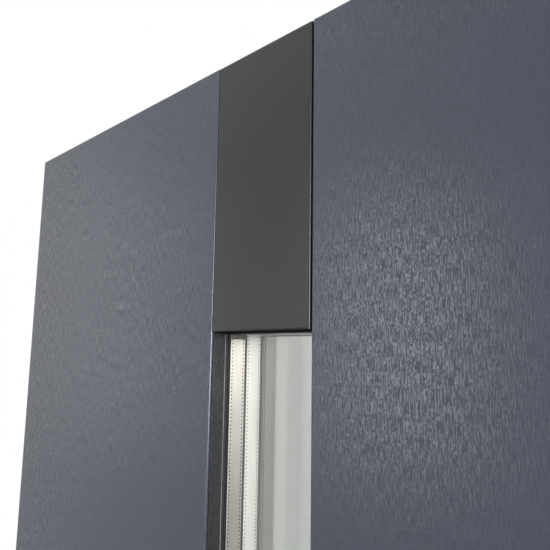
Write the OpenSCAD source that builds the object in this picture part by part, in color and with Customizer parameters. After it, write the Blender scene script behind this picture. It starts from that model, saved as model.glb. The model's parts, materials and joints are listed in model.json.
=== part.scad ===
// Entrance door block: a steel frame with a threshold, and an outward-opening insulated leaf
// faced with wood-grain panels on both sides. A narrow glazed recess runs down the middle of the
// leaf between two folded metal plates. X runs to the right seen from outside, Y into the
// building and Z up. The origin is the middle of the threshold's underside, on the wall plane.

/* [Leaf] */
// Width of the leaf across its outer face
leaf_w = 950; // [820:1:1100]
// Height of the leaf's outer face
leaf_h = 2035; // [1900:1:2300]
// Gap between the floor and the leaf's outer face
leaf_floor_gap = 10; // [6:1:14]
// Thickness of the outer facing panels
panel_t = 16; // [12:1:22]
// Thickness of the inner facing panels
inner_panel_t = 12; // [10:1:18]
// Radius of the panels' front edges
arris_r = 2; // [1:0.5:4]
// Depth of the outer steel tray
tray_d = 22; // [18:1:28]
// Depth of the thermal break
break_d = 8; // [4:1:12]

/* [Glazed recess] */
// Width of the recess between the panels
recess_w = 125; // [100:1:160]
// Height of the metal plates above and below the window
plate_h = 264; // [200:1:400]
// Gap between a plate and the panel beside it
plate_gap = 2; // [1:0.5:4]
// Sheet thickness of the plates
plate_t = 1.5; // [1:0.1:2]
// Outer radius of the plates' folded edges
fold_r = 2.5; // [2.2:0.1:4]
// Wall of the lining in the recess
lining_t = 1.5; // [1:0.1:2.5]
// Distance from the panel's face to the lining's front edge
lining_set_back = 2.5; // [2:0.5:5]
// Radius of the lining's back edge
lining_r = 1.2; // [0.6:0.1:1.4]
// Thickness of each glass pane
pane_t = 4; // [3:0.5:6]
// Width of the spacer bars between the panes
spacer_w = 19; // [14:1:22]
// Height of the spacer bars
spacer_h = 7; // [5:0.5:8]
// How far the spacer stands inside the recess line
spacer_sight = 1; // [0:0.5:1.5]
// Cover of the glass beyond the recess on each side
unit_edge = 12; // [10:1:16]
// Space around the glass unit in the leaf
unit_gap = 3; // [2:0.5:5]
// Thickness of the glazing gaskets
gasket_t = 4.5; // [2:0.5:6]
// Width of the glazing gaskets
gasket_w = 8; // [6:0.5:10]
// Steel lip in front of the glass unit
lip_t = 1.5; // [1:0.1:2]
// Depth of the inner bead's flange
bead_flange_t = 5.5; // [4:0.5:8]

/* [Frame] */
// Sheet thickness of the frame
frame_t = 2; // [1.5:0.1:3]
// Inner radius of the bends in the frame's sheet
bend_r = 2; // [1:0.5:4]
// Width of the stop that the leaf closes against
stop_w = 30; // [25:1:40]
// Width of the jambs and head
jamb_w = 60; // [52:1:80]
// How far the outer flange runs over the wall
flange_out = 25; // [20:1:45]
// How far the flange stands off the wall
flange_d = 12; // [8:1:20]
// Depth of the frame behind the wall plane
frame_back = 98; // [85:1:130]
// How far the leaf covers the frame
overlap = 25; // [20:1:32]
// Gap round the leaf's inner part
rebate_gap = 10; // [9:1:12]
// Gap between the closed leaf and the frame
closing_gap = 5; // [5:0.5:7]
// Radius of the anchor holes
anchor_r = 6.25; // [4:0.25:8]
// Distance from the floor and from the head to the nearest anchors
anchor_end = 200; // [150:5:300]

/* [Threshold] */
// Height of the threshold under the leaf
sill_h = 15; // [12:1:20]
// Height of the ridge that the leaf closes against
ridge_h = 37; // [36:1:45]
// Wall of the threshold
sill_wall = 3; // [2:0.5:4]
// Thickness of the wear strip on the ridge
cover_t = 1.5; // [1:0.1:2]
// Width of the grooves in the tread
groove_w = 3; // [2:0.5:4]
// Depth of the grooves in the tread
groove_d = 1.2; // [0.6:0.1:1.5]

/* [Seals] */
// Width of the seals
seal_w = 10; // [6:1:12]
// Radius of the seals' shoulders
seal_r = 3; // [1:0.5:4]
// Gap that is left between a seal and the leaf
seal_clear = 0.4; // [0.3:0.1:0.8]

/* [Hinges] */
// Distance from the leaf's edge to the hinge axis
hinge_offset = 14; // [13:0.5:16]
// Distance from the flange to the hinge axis
hinge_stand = 18; // [16:0.5:19]
// Radius of the hinge barrels
barrel_r = 9; // [8:0.5:9]
// Radius of the bores for the hinge pins
hinge_bore_r = 5; // [4:0.5:6]
// Running clearance of the pins in the bores
pin_clear = 0.06; // [0.03:0.01:0.1]
// Length of the knuckles on the leaf
leaf_knuckle = 50; // [30:1:70]
// Length of the knuckles on the frame
frame_knuckle = 30; // [20:1:50]
// Gap between knuckles
knuckle_gap = 0.4; // [0.3:0.1:0.8]
// Width of the arms that carry the barrels
hinge_arm_w = 14; // [10:1:16]
// Height of the cap on each pin
pin_cap_h = 4; // [2:0.5:8]
// Distance from the leaf's bottom and top to the middle of the nearest hinges
hinge_end = 215; // [150:5:300]

/* [Handles and lock] */
// Height of the lever
lever_z = 1050; // [950:5:1100]
// Distance from the leaf's outer edge to the lever
backset = 85; // [80:1:110]
// Width of the handle plates
handle_plate_w = 40; // [36:1:50]
// Height of the handle plates
handle_plate_h = 230; // [200:1:260]
// Thickness of the handle plates
handle_plate_t = 8; // [5:0.5:10]
// Edge radius of the handle plates
handle_plate_r = 2; // [1:0.5:3]
// Radius of the lever's neck
neck_r = 10; // [8:0.5:12]
// Distance from the handle plate to the lever's middle line
neck_l = 42; // [36:1:55]
// Radius of the lever's grip
grip_r = 9; // [7:0.5:10]
// Length of the lever's grip
grip_l = 118; // [90:1:140]
// Distance from the handle plates' lower end up to the lock cylinder
cylinder_end = 43; // [35:1:55]
// Radius of the lock cylinder
cylinder_r = 8.5; // [8:0.1:9]
// Width of the lock cylinder's lower part
cylinder_tail_w = 10; // [9:0.5:11]
// Height of the lock cylinder's lower part
cylinder_tail_h = 24; // [20:0.5:26]
// How far the lock cylinder stands out of its plate
cylinder_proud = 3; // [1:0.5:4]
// Radius of the thumbturn's rose
turn_r = 13; // [11:0.5:15]
// Thickness of the thumbturn's rose
turn_t = 4; // [3:0.5:6]
// Thickness of the thumbturn's wing
wing_t = 8; // [6:0.5:10]
// How far the thumbturn's wing stands out
wing_l = 18; // [14:1:24]
// Width of the lock faceplate
faceplate_w = 24; // [20:1:26]
// Height of the lock faceplate
faceplate_h = 290; // [260:1:340]
// Thickness of the lock faceplate
faceplate_t = 3; // [2:0.5:4]
// Radius of the lock bolts
bolt_r = 8; // [6:0.5:9]
// How far the withdrawn bolts stand out
bolt_proud = 1; // [0.5:0.1:1.5]
// Spacing of the lock bolts
bolt_pitch = 60; // [45:1:70]
// Thickness of the strike plate
strike_t = 2; // [1.5:0.1:2.5]
// Play around a bolt in the strike plate
strike_play = 2; // [1:0.5:3]

/* [Hidden] */

// How far a cut runs past the surface that it opens
overrun = 1;
// Straight pieces in each rounded edge or bend
arc_steps = 6;
// Facets on round pieces
round_fn = 48;
// Fit of the cylinder in its hole
cylinder_fit = 0.3;
// Recess of the thermal break behind the trays' edges
break_inset = 1;
// Width of a setting block under the glass
block_w = 40;
// Number of lock bolts
bolt_count = 4;
// Number of hinges
hinge_count = 3;
// Number of anchors in each jamb
anchor_count = 4;
// Places of the grooves, as shares of the tread's depth
groove_shares = [0.2, 0.4, 0.6, 0.8];
// Share of the ridge's depth that is flat before it slopes down to the floor inside
ridge_flat_share = 0.6;
// Share of the faceplate that the strike plate matches in height
strike_height_share = 1.1;
// Share of the stop where its seal starts
stop_seal_share = 0.2;
// Share of the overlap where the flange's seal starts
flange_seal_share = 0.3;

// Depth places, from outside to inside
unit_t = 3 * pane_t + 2 * spacer_w;
core_d = lip_t + gasket_t + unit_t + gasket_t + bead_flange_t;
y_flange = -flange_d;
y_tray_back = y_flange - closing_gap;
y_tray = y_tray_back - tray_d;
y_front = y_tray - panel_t;
y_lip = y_tray + lip_t;
y_pane_1 = y_lip + gasket_t;
y_spacer_1 = y_pane_1 + pane_t;
y_pane_2 = y_spacer_1 + spacer_w;
y_spacer_2 = y_pane_2 + pane_t;
y_pane_3 = y_spacer_2 + spacer_w;
y_unit_end = y_pane_3 + pane_t;
y_bead = y_unit_end + gasket_t;
y_break_end = y_tray_back + break_d;
y_core_end = y_tray + core_d;
y_inner = y_core_end + inner_panel_t;
y_stop = y_inner + closing_gap;

// Width places, from the middle outwards
x_leaf = leaf_w / 2;
x_opening = x_leaf - overlap;
x_core = x_opening - rebate_gap;
x_clear = x_opening - stop_w;
x_wall = x_clear + jamb_w;
x_flange = x_wall + flange_out;
x_recess = recess_w / 2;
x_lining = x_recess - lining_t;
x_spacer = x_recess - spacer_sight;
x_unit = x_recess + unit_edge;
x_aperture = x_unit + unit_gap;
x_hinge = x_leaf + hinge_offset;
y_hinge = y_flange - hinge_stand;
x_handle = -x_leaf + backset;

// Height places, from the floor up
z_leaf = leaf_floor_gap;
z_top = z_leaf + leaf_h;
z_opening = z_top - overlap;
z_core_top = z_opening - rebate_gap;
z_core = sill_h + rebate_gap;
z_clear = z_opening - stop_w;
z_flange = z_clear + jamb_w + flange_out;
z_window = z_leaf + plate_h;
z_window_top = z_top - plate_h;
window_h = z_window_top - z_window;
z_cylinder = lever_z - handle_plate_h / 2 + cylinder_end;
hinge_h = 2 * frame_knuckle + leaf_knuckle + 2 * knuckle_gap;

// Lock edge places
y_lock = (y_break_end + y_core_end) / 2;
strike_h = faceplate_h * strike_height_share;
anchor_y = (y_stop + frame_back) / 2;
anchor_pitch = (z_clear - 2 * anchor_end) / (anchor_count - 1);
anchor_places = [for (i = [0 : anchor_count - 1]) anchor_end + i * anchor_pitch];
hinge_pitch = (leaf_h - 2 * hinge_end) / (hinge_count - 1);
hinge_places = [for (i = [0 : hinge_count - 1]) z_leaf + hinge_end + i * hinge_pitch];
bolt_places = [for (i = [0 : bolt_count - 1]) lever_z + (i - (bolt_count - 1) / 2) * bolt_pitch];

// Points on an arc about c, from angle a0 to a1
function arc_points(c, r, a0, a1) = [
  for (i = [0 : arc_steps])
    let (a = a0 + (a1 - a0) * i / arc_steps)
      c + r * [cos(a), sin(a)]
];

// Direction of a step, and the direction to its left
function direction(step) = step / norm(step);
function left_of(d) = [-d[1], d[0]];
function reversed(list) = [for (i = [len(list) - 1 : -1 : 0]) list[i]];

// Arc that the sheet's left (side 1) or right (side -1) face follows where its middle line turns at corner b
function bend_points(a, b, c, t, r, side) =
  let (
    d = direction(b - a),
    e = direction(c - b),
    turn = sign(cross(d, e)),
    angle = acos(d * e),
    middle_r = r + t / 2,
    centre = b - d * middle_r * tan(angle / 2) + turn * middle_r * left_of(d),
    start = atan2(-turn * left_of(d)[1], -turn * left_of(d)[0])
  )
  arc_points(centre, middle_r - turn * side * t / 2, start, start + turn * angle);

// One face of a folded sheet along its middle line
function sheet_face(path, t, r, side) =
  let (
    last = len(path) - 1,
    offset_0 = side * t / 2 * left_of(direction(path[1] - path[0])),
    offset_1 = side * t / 2 * left_of(direction(path[last] - path[last - 1]))
  )
  concat(
    [path[0] + offset_0],
    [for (i = [1 : last - 1]) each bend_points(path[i - 1], path[i], path[i + 1], t, r, side)],
    [path[last] + offset_1]
  );

// Section of a sheet of thickness t, folded with inner radius r along its middle line
module folded_section(path, t, r) {
  polygon(concat(sheet_face(path, t, r, 1), reversed(sheet_face(path, t, r, -1))));
}

// Box between two places on each axis
module box(x0, x1, y0, y1, z0, z1) {
  translate([x0, y0, z0])
    cube([x1 - x0, y1 - y0, z1 - z0]);
}

// Rectangular ring round the window: outer and inner half widths, and how far each lies past the window
module window_ring(x_out, x_in, y0, y1) {
  difference() {
    box(-x_out, x_out, y0, y1, z_window - (x_out - x_recess), z_window_top + (x_out - x_recess));
    box(-x_in, x_in, y0 - overrun, y1 + overrun, z_window - (x_in - x_recess), z_window_top + (x_in - x_recess));
  }
}

// Flat piece of the glass unit: a pane that reaches the unit's edges
module pane(y0) {
  box(-x_unit, x_unit, y0, y0 + pane_t, z_window - unit_edge, z_window_top + unit_edge);
}

// Rectangle with its two front corners rounded
module rounded_front(w, d, r) {
  polygon(concat(
    [[0, 0], [w, 0]],
    arc_points([w - r, d - r], r, 0, 90),
    arc_points([r, d - r], r, 90, 180)
  ));
}

// Slab whose four front edges are rounded, with its back on y = 0 and its front at y = d
module rounded_slab(w, h, d, r) {
  intersection() {
    linear_extrude(h)
      rounded_front(w, d, r);
    translate([w, 0, 0])
      rotate([0, -90, 0])
        linear_extrude(w)
          rounded_front(h, d, r);
  }
}

// Outline of an opening that widens at y = d by a rounded edge: w is its narrow width
module flared_outline(w, d, r) {
  polygon(concat(
    [[0, -overrun], [w, -overrun]],
    arc_points([w + r, d - r], r, 180, 90),
    [[w + r, d + overrun], [-r, d + overrun]],
    arc_points([-r, d - r], r, 90, 0)
  ));
}

// Opening w wide and h high that widens at y = d on all four sides
module flared_slab(w, h, d, r) {
  intersection() {
    translate([0, 0, -r])
      linear_extrude(h + 2 * r)
        flared_outline(w, d, r);
    translate([w + r, 0, 0])
      rotate([0, -90, 0])
        linear_extrude(w + 2 * r)
          flared_outline(h, d, r);
  }
}

// Rounded slab between two places in X and Z, with its back at y_back and facing out of the building
module outward_slab(x0, x1, z0, z1, y_back, d, r) {
  translate([x0, y_back, z0])
    mirror([0, 1, 0])
      rounded_slab(x1 - x0, z1 - z0, d, r);
}

// The same, facing into the building
module inward_slab(x0, x1, z0, z1, y_back, d, r) {
  translate([x0, y_back, z0])
    rounded_slab(x1 - x0, z1 - z0, d, r);
}

// Folded metal tray, open at its back on y = 0
module folded_tray(w, h, d) {
  difference() {
    rounded_slab(w, h, d, fold_r);
    translate([plate_t, -overrun, plate_t])
      rounded_slab(w - 2 * plate_t, h - 2 * plate_t, d - plate_t + overrun, fold_r - plate_t);
  }
}

// Section of the bent frame: u runs outwards from the clear opening and v is the depth. The sheet
// starts at the flange's lip on the wall, passes the rebate, stop and reveal, and ends on the wall side
module frame_section() {
  half = frame_t / 2;
  lip_u = jamb_w + flange_out - half;
  wall_u = jamb_w - half;
  rebate_u = stop_w + half;
  folded_section([
    [lip_u, 0], [lip_u, y_flange + half], [rebate_u, y_flange + half], [rebate_u, y_stop + half],
    [half, y_stop + half], [half, frame_back - half], [wall_u, frame_back - half], [wall_u, 0]
  ], frame_t, bend_r);
}

// Outline of a jamb seen from outside, mitred at its top
module jamb_outline() {
  polygon([[x_clear, 0], [x_flange, 0], [x_flange, z_flange], [x_clear, z_clear]]);
}

// Outline of the head seen from outside, mitred at both ends
module head_outline() {
  polygon([[-x_clear, z_clear], [x_clear, z_clear], [x_flange, z_flange], [-x_flange, z_flange]]);
}

// Turns a flat outline in X and Z into a block as deep as the frame
module through_frame() {
  translate([0, frame_back + overrun, 0])
    rotate([90, 0, 0])
      linear_extrude(frame_back + flange_d + 2 * overrun)
        children();
}

// Right-hand jamb with its anchor holes
module jamb() {
  difference() {
    intersection() {
      translate([x_clear, 0, 0])
        linear_extrude(z_flange)
          frame_section();
      through_frame()
        jamb_outline();
    }
    for (z = anchor_places)
      translate([x_clear - overrun, anchor_y, z])
        rotate([0, 90, 0])
          cylinder(h = jamb_w + 2 * overrun, r = anchor_r, $fn = round_fn);
  }
}

module hinge_jamb() {
  color("#3a3d40")
    jamb();
}

// The lock jamb is the hinge jamb mirrored, with a slot behind its strike plate
module lock_jamb() {
  color("#3a3d40")
    difference() {
      mirror([1, 0, 0])
        jamb();
      for (z = bolt_places)
        translate([-x_opening - frame_t - overrun, y_lock, z])
          rotate([0, 90, 0])
            cylinder(h = frame_t + 2 * overrun, r = bolt_r + strike_play, $fn = round_fn);
    }
}

module frame_head() {
  color("#3a3d40")
    intersection() {
      translate([x_flange, 0, z_clear])
        rotate([0, -90, 0])
          linear_extrude(2 * x_flange)
            frame_section();
      through_frame()
        head_outline();
    }
}

// Section of the threshold in depth and height, with a hollow inside
module sill_section() {
  y_slope = y_stop + (frame_back - y_stop) * ridge_flat_share;
  difference() {
    polygon([
      [y_flange, 0], [y_flange, sill_h], [y_stop, sill_h], [y_stop, ridge_h],
      [y_slope, ridge_h], [frame_back, sill_h], [frame_back, 0]
    ]);
    polygon([
      [y_flange + sill_wall, sill_wall], [y_flange + sill_wall, sill_h - sill_wall],
      [y_stop + sill_wall, sill_h - sill_wall], [y_stop + sill_wall, ridge_h - sill_wall],
      [y_slope - sill_wall, ridge_h - sill_wall], [frame_back - sill_wall, sill_h - sill_wall],
      [frame_back - sill_wall, sill_wall]
    ]);
    for (share = groove_shares)
      translate([y_flange + (y_stop - y_flange) * share - groove_w / 2, sill_h - groove_d])
        square([groove_w, groove_d + overrun]);
  }
}

// The threshold fits between the jambs: wider in front of the stop than behind it
module threshold() {
  color("#8b8d8f")
    intersection() {
      translate([-x_opening, 0, 0])
        rotate([90, 0, 90])
          linear_extrude(2 * x_opening)
            sill_section();
      union() {
        box(-x_opening, x_opening, y_flange, y_stop, 0, ridge_h);
        box(-x_clear, x_clear, y_flange, frame_back, 0, ridge_h);
      }
    }
}

// Wear strip on the flat of the ridge
module threshold_cover() {
  color("#c3c6c8")
    box(-x_clear, x_clear, y_stop, y_stop + (frame_back - y_stop) * ridge_flat_share, ridge_h, ridge_h + cover_t);
}

// Rectangular seal that stands on y = 0 and faces +Y, with rounded shoulders: w and h are its inner size
module seal_ring(w, h) {
  d = closing_gap - seal_clear;
  difference() {
    translate([-w / 2 - seal_w, 0, -seal_w])
      rounded_slab(w + 2 * seal_w, h + 2 * seal_w, d, seal_r);
    translate([-w / 2, 0, 0])
      flared_slab(w, h, d, seal_r);
  }
}

// Soft seal on the flange, round the sides and top of the opening
module flange_seal() {
  x_in = x_opening + overlap * flange_seal_share;
  z_in = z_opening + overlap * flange_seal_share;
  color("#1b1b1c")
    difference() {
      translate([0, y_flange, 0])
        mirror([0, 1, 0])
          seal_ring(2 * x_in, z_in);
      box(-x_flange, x_flange, y_tray_back, y_flange + overrun, -seal_w - overrun, sill_h);
    }
}

// Soft seal on the stop and on the ridge, all round the opening
module stop_seal() {
  x_in = x_clear + stop_w * stop_seal_share;
  z_in = z_clear + stop_w * stop_seal_share;
  z_low = z_core + seal_w;
  color("#1b1b1c")
    translate([0, y_stop, z_low])
      mirror([0, 1, 0])
        seal_ring(2 * x_in, z_in - z_low);
}

// Plate on the lock jamb that takes the bolts
module strike_plate() {
  color("#a9acae")
    difference() {
      box(-x_opening, -x_opening + strike_t, y_lock - faceplate_w / 2, y_lock + faceplate_w / 2,
        lever_z - strike_h / 2, lever_z + strike_h / 2);
      for (z = bolt_places)
        translate([-x_opening - overrun, y_lock, z])
          rotate([0, 90, 0])
            cylinder(h = strike_t + 2 * overrun, r = bolt_r + strike_play, $fn = round_fn);
    }
}

// Barrel of a knuckle, with an arm as long as arm_x towards the leaf or arm_y towards the frame,
// drilled for the pin
module knuckle(h, arm_x, arm_y) {
  difference() {
    union() {
      cylinder(h = h, r = barrel_r, $fn = round_fn);
      if (arm_x > 0)
        translate([-arm_x, -hinge_arm_w / 2, 0])
          cube([arm_x, hinge_arm_w, h]);
      if (arm_y > 0)
        translate([-hinge_arm_w / 2, 0, 0])
          cube([hinge_arm_w, arm_y, h]);
    }
    translate([0, 0, -overrun])
      cylinder(h = h + 2 * overrun, r = hinge_bore_r, $fn = round_fn);
  }
}

// Two knuckles of each hinge stand on the flange of the frame
module hinge_frame_knuckles() {
  color("#26282a")
    for (z = hinge_places)
      for (low = [0, frame_knuckle + leaf_knuckle + 2 * knuckle_gap])
        translate([x_hinge, y_hinge, z - hinge_h / 2 + low])
          knuckle(frame_knuckle, 0, hinge_stand);
}

// The middle knuckle of each hinge is fixed to the edge of the leaf's outer tray
module hinge_leaf_knuckles() {
  color("#26282a")
    for (z = hinge_places)
      translate([x_hinge, y_hinge, z - hinge_h / 2 + frame_knuckle + knuckle_gap])
        knuckle(leaf_knuckle, hinge_offset, 0);
}

// Pins with a cap that rests on the upper knuckle
module hinge_pins() {
  color("#26282a")
    for (z = hinge_places)
      translate([x_hinge, y_hinge, z - hinge_h / 2]) {
        cylinder(h = hinge_h + pin_cap_h, r = hinge_bore_r - pin_clear, $fn = round_fn);
        translate([0, 0, hinge_h])
          cylinder(h = pin_cap_h, r1 = barrel_r, r2 = hinge_bore_r, $fn = round_fn);
      }
}

// Outer steel tray: it covers the frame, and a lip at its front holds the glass unit
module outer_tray() {
  color("#33363a")
    difference() {
      box(-x_leaf, x_leaf, y_tray, y_tray_back, z_leaf, z_top);
      box(-x_recess, x_recess, y_tray - overrun, y_tray_back, z_window, z_window_top);
      aperture(y_lip, y_tray_back + overrun);
    }
}

// Space for the glass unit, with its clearance
module aperture(y0, y1) {
  edge = unit_edge + unit_gap;
  box(-x_aperture, x_aperture, y0, y1, z_window - edge, z_window_top + edge);
}

module thermal_break() {
  color("#202122")
    difference() {
      box(-x_core + break_inset, x_core - break_inset, y_tray_back, y_break_end,
        z_core + break_inset, z_core_top - break_inset);
      aperture(y_tray_back - overrun, y_break_end + overrun);
    }
}

// Inner steel tray, with a pocket in its edge for the lock's faceplate
module inner_tray() {
  color("#33363a")
    difference() {
      box(-x_core, x_core, y_break_end, y_core_end, z_core, z_core_top);
      aperture(y_break_end - overrun, y_core_end + overrun);
      box(-x_core - overrun, -x_core + faceplate_t, y_lock - faceplate_w / 2, y_lock + faceplate_w / 2,
        lever_z - faceplate_h / 2, lever_z + faceplate_h / 2);
    }
}

module outer_panel_left() {
  color("#646971")
    outward_slab(-x_leaf, -x_recess, z_leaf, z_top, y_tray, panel_t, arris_r);
}

module outer_panel_right() {
  color("#646971")
    outward_slab(x_recess, x_leaf, z_leaf, z_top, y_tray, panel_t, arris_r);
}

// Plate between the panels, set flush with them, from z0 to z1
module outer_plate(z0, z1) {
  half = x_recess - plate_gap;
  translate([-half, y_tray, z0])
    mirror([0, 1, 0])
      folded_tray(2 * half, z1 - z0, panel_t);
}

module outer_plate_top() {
  color("#464847")
    outer_plate(z_window_top, z_top);
}

module outer_plate_bottom() {
  color("#464847")
    outer_plate(z_leaf, z_window);
}

// Thin strips that line both sides of the recess from the panels' edges back to the steel lip, rounded at
// their back edges; the plates' folded ends line its top and bottom
module window_lining() {
  y0 = y_front + lining_set_back;
  color("#3c3c3c")
    difference() {
      box(-x_recess, x_recess, y0, y_lip, z_window, z_window_top);
      translate([-x_lining, y0, z_window - overrun])
        linear_extrude(window_h + 2 * overrun)
          flared_outline(2 * x_lining, y_lip - y0, lining_r);
    }
}

module outer_gasket() {
  color("#1e1e1e")
    window_ring(x_lining + gasket_w, x_lining, y_lip, y_pane_1);
}

module outer_pane() {
  color("#cfe0dc", 0.35)
    pane(y_pane_1);
}

module middle_pane() {
  color("#cfe0dc", 0.35)
    pane(y_pane_2);
}

module inner_pane() {
  color("#cfe0dc", 0.35)
    pane(y_pane_3);
}

module outer_spacer() {
  color("#d8d5cf")
    window_ring(x_spacer + spacer_h, x_spacer, y_spacer_1, y_pane_2);
}

module inner_spacer() {
  color("#e9e8e4")
    window_ring(x_spacer + spacer_h, x_spacer, y_spacer_2, y_pane_3);
}

// Sealant that fills the rim of the glass unit behind both spacers
module edge_sealant() {
  color("#161616")
    for (y0 = [y_spacer_1, y_spacer_2])
      window_ring(x_unit, x_spacer + spacer_h, y0, y0 + spacer_w);
}

// Two blocks that carry the glass unit on the sill of its aperture
module setting_blocks() {
  z0 = z_window - unit_edge - unit_gap;
  color("#2a2a2a")
    for (side = [-1, 1])
      box(side * x_unit / 2 - block_w / 2, side * x_unit / 2 + block_w / 2, y_pane_1, y_unit_end, z0, z0 + unit_gap);
}

module inner_gasket() {
  color("#1e1e1e")
    window_ring(x_lining + gasket_w, x_lining, y_unit_end, y_bead);
}

// Inner bead: a flange that presses on the glass and a sleeve along the inner panels' edges
module inner_bead() {
  color("#b9b9b4") {
    union() {
      window_ring(x_unit, x_lining, y_bead, y_core_end);
      window_ring(x_recess, x_lining, y_core_end, y_inner - lining_set_back);
    }
  }
}

module inner_panel_left() {
  color("#646971")
    inward_slab(-x_core, -x_recess, z_core, z_core_top, y_core_end, inner_panel_t, arris_r);
}

module inner_panel_right() {
  color("#646971")
    inward_slab(x_recess, x_core, z_core, z_core_top, y_core_end, inner_panel_t, arris_r);
}

module inner_plate(z0, z1) {
  half = x_recess - plate_gap;
  translate([-half, y_core_end, z0])
    folded_tray(2 * half, z1 - z0, inner_panel_t);
}

module inner_plate_top() {
  color("#464847")
    inner_plate(z_window_top, z_core_top);
}

module inner_plate_bottom() {
  color("#464847")
    inner_plate(z_core, z_window);
}

// Faceplate of the lock, flush in the pocket of the leaf's edge
module lock_faceplate() {
  color("#a9acae")
    difference() {
      box(-x_core, -x_core + faceplate_t, y_lock - faceplate_w / 2, y_lock + faceplate_w / 2,
        lever_z - faceplate_h / 2, lever_z + faceplate_h / 2);
      for (z = bolt_places)
        translate([-x_core - overrun, y_lock, z])
          rotate([0, 90, 0])
            cylinder(h = faceplate_t + 2 * overrun, r = bolt_r + cylinder_fit, $fn = round_fn);
    }
}

// Ends of the bolts, withdrawn
module lock_bolts() {
  color("#c9cccd")
    for (z = bolt_places)
      translate([-x_core - bolt_proud, y_lock, z])
        rotate([0, 90, 0])
          cylinder(h = faceplate_t + bolt_proud, r = bolt_r, $fn = round_fn);
}

// Outline of the lock cylinder, seen along Y, with its round part on the origin
module cylinder_outline(fit) {
  circle(r = cylinder_r + fit, $fn = round_fn);
  translate([-cylinder_tail_w / 2 - fit, -cylinder_tail_h + cylinder_r - fit])
    square([cylinder_tail_w + 2 * fit, cylinder_tail_h - cylinder_r + fit]);
}

// Handle plate with its back on y = 0, facing +Y
module handle_plate() {
  translate([-handle_plate_w / 2, 0, lever_z - handle_plate_h / 2])
    rounded_slab(handle_plate_w, handle_plate_h, handle_plate_t, handle_plate_r);
}

// Lever that stands on its plate at y = 0 and faces +Y, with its grip towards +X
module lever() {
  translate([0, 0, lever_z]) {
    rotate([-90, 0, 0])
      cylinder(h = neck_l, r = neck_r, $fn = round_fn);
    translate([0, neck_l, 0])
      sphere(r = neck_r, $fn = round_fn);
    translate([0, neck_l, 0])
      rotate([0, 90, 0])
        cylinder(h = grip_l, r = grip_r, $fn = round_fn);
    translate([grip_l, neck_l, 0])
      sphere(r = grip_r, $fn = round_fn);
  }
}

// Outer handle plate, cut out for the lock cylinder
module outer_handle_plate() {
  color("#2b2c2d")
    difference() {
      translate([x_handle, y_front, 0])
        mirror([0, 1, 0])
          handle_plate();
      translate([x_handle, y_front + overrun, z_cylinder])
        rotate([90, 0, 0])
          linear_extrude(handle_plate_t + 2 * overrun)
            cylinder_outline(cylinder_fit);
    }
}

module outer_lever() {
  color("#2b2c2d")
    translate([x_handle, y_front - handle_plate_t, 0])
      mirror([0, 1, 0])
        lever();
}

// Outer end of the lock cylinder, in its hole in the handle plate
module lock_cylinder() {
  color("#9a9c9e")
    translate([x_handle, y_front, z_cylinder])
      rotate([90, 0, 0])
        linear_extrude(handle_plate_t + cylinder_proud)
          cylinder_outline(0);
}

module inner_handle_plate() {
  color("#2b2c2d")
    translate([x_handle, y_inner, 0])
      handle_plate();
}

module inner_lever() {
  color("#2b2c2d")
    translate([x_handle, y_inner + handle_plate_t, 0])
      lever();
}

// Inner end of the lock: a rose with a wing to turn
module thumbturn() {
  color("#9a9c9e")
    translate([x_handle, y_inner + handle_plate_t, z_cylinder]) {
      rotate([-90, 0, 0])
        cylinder(h = turn_t, r = turn_r, $fn = round_fn);
      translate([-wing_t / 2, 0, -turn_r])
        cube([wing_t, turn_t + wing_l, 2 * turn_r]);
    }
}

hinge_jamb();
lock_jamb();
frame_head();
threshold();
threshold_cover();
flange_seal();
stop_seal();
strike_plate();
hinge_frame_knuckles();
hinge_pins();
outer_tray();
thermal_break();
inner_tray();
outer_panel_left();
outer_panel_right();
outer_plate_top();
outer_plate_bottom();
window_lining();
outer_gasket();
outer_pane();
outer_spacer();
middle_pane();
inner_spacer();
inner_pane();
edge_sealant();
setting_blocks();
inner_gasket();
inner_bead();
inner_panel_left();
inner_panel_right();
inner_plate_top();
inner_plate_bottom();
lock_faceplate();
lock_bolts();
outer_handle_plate();
outer_lever();
lock_cylinder();
inner_handle_plate();
inner_lever();
thumbturn();
hinge_leaf_knuckles();
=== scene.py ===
# %% [markdown]
# # An entrance door with a glazed strip
#
# The door block is a steel leaf in a steel frame. Each face of the leaf carries two grain-faced
# panels, and between them runs a narrow strip: a folded metal plate above and below, and a tall
# window of three panes in the middle. The construction comes packed as named nodes on two bodies,
# "frame" and "leaf", and this lesson dresses it. All lengths are metres, X runs to the right seen
# from outside, Y into the building and Z up.

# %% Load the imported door
import json
import math

import bmesh
import bpy
import numpy as np
from mathutils import Matrix, Vector


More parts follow.
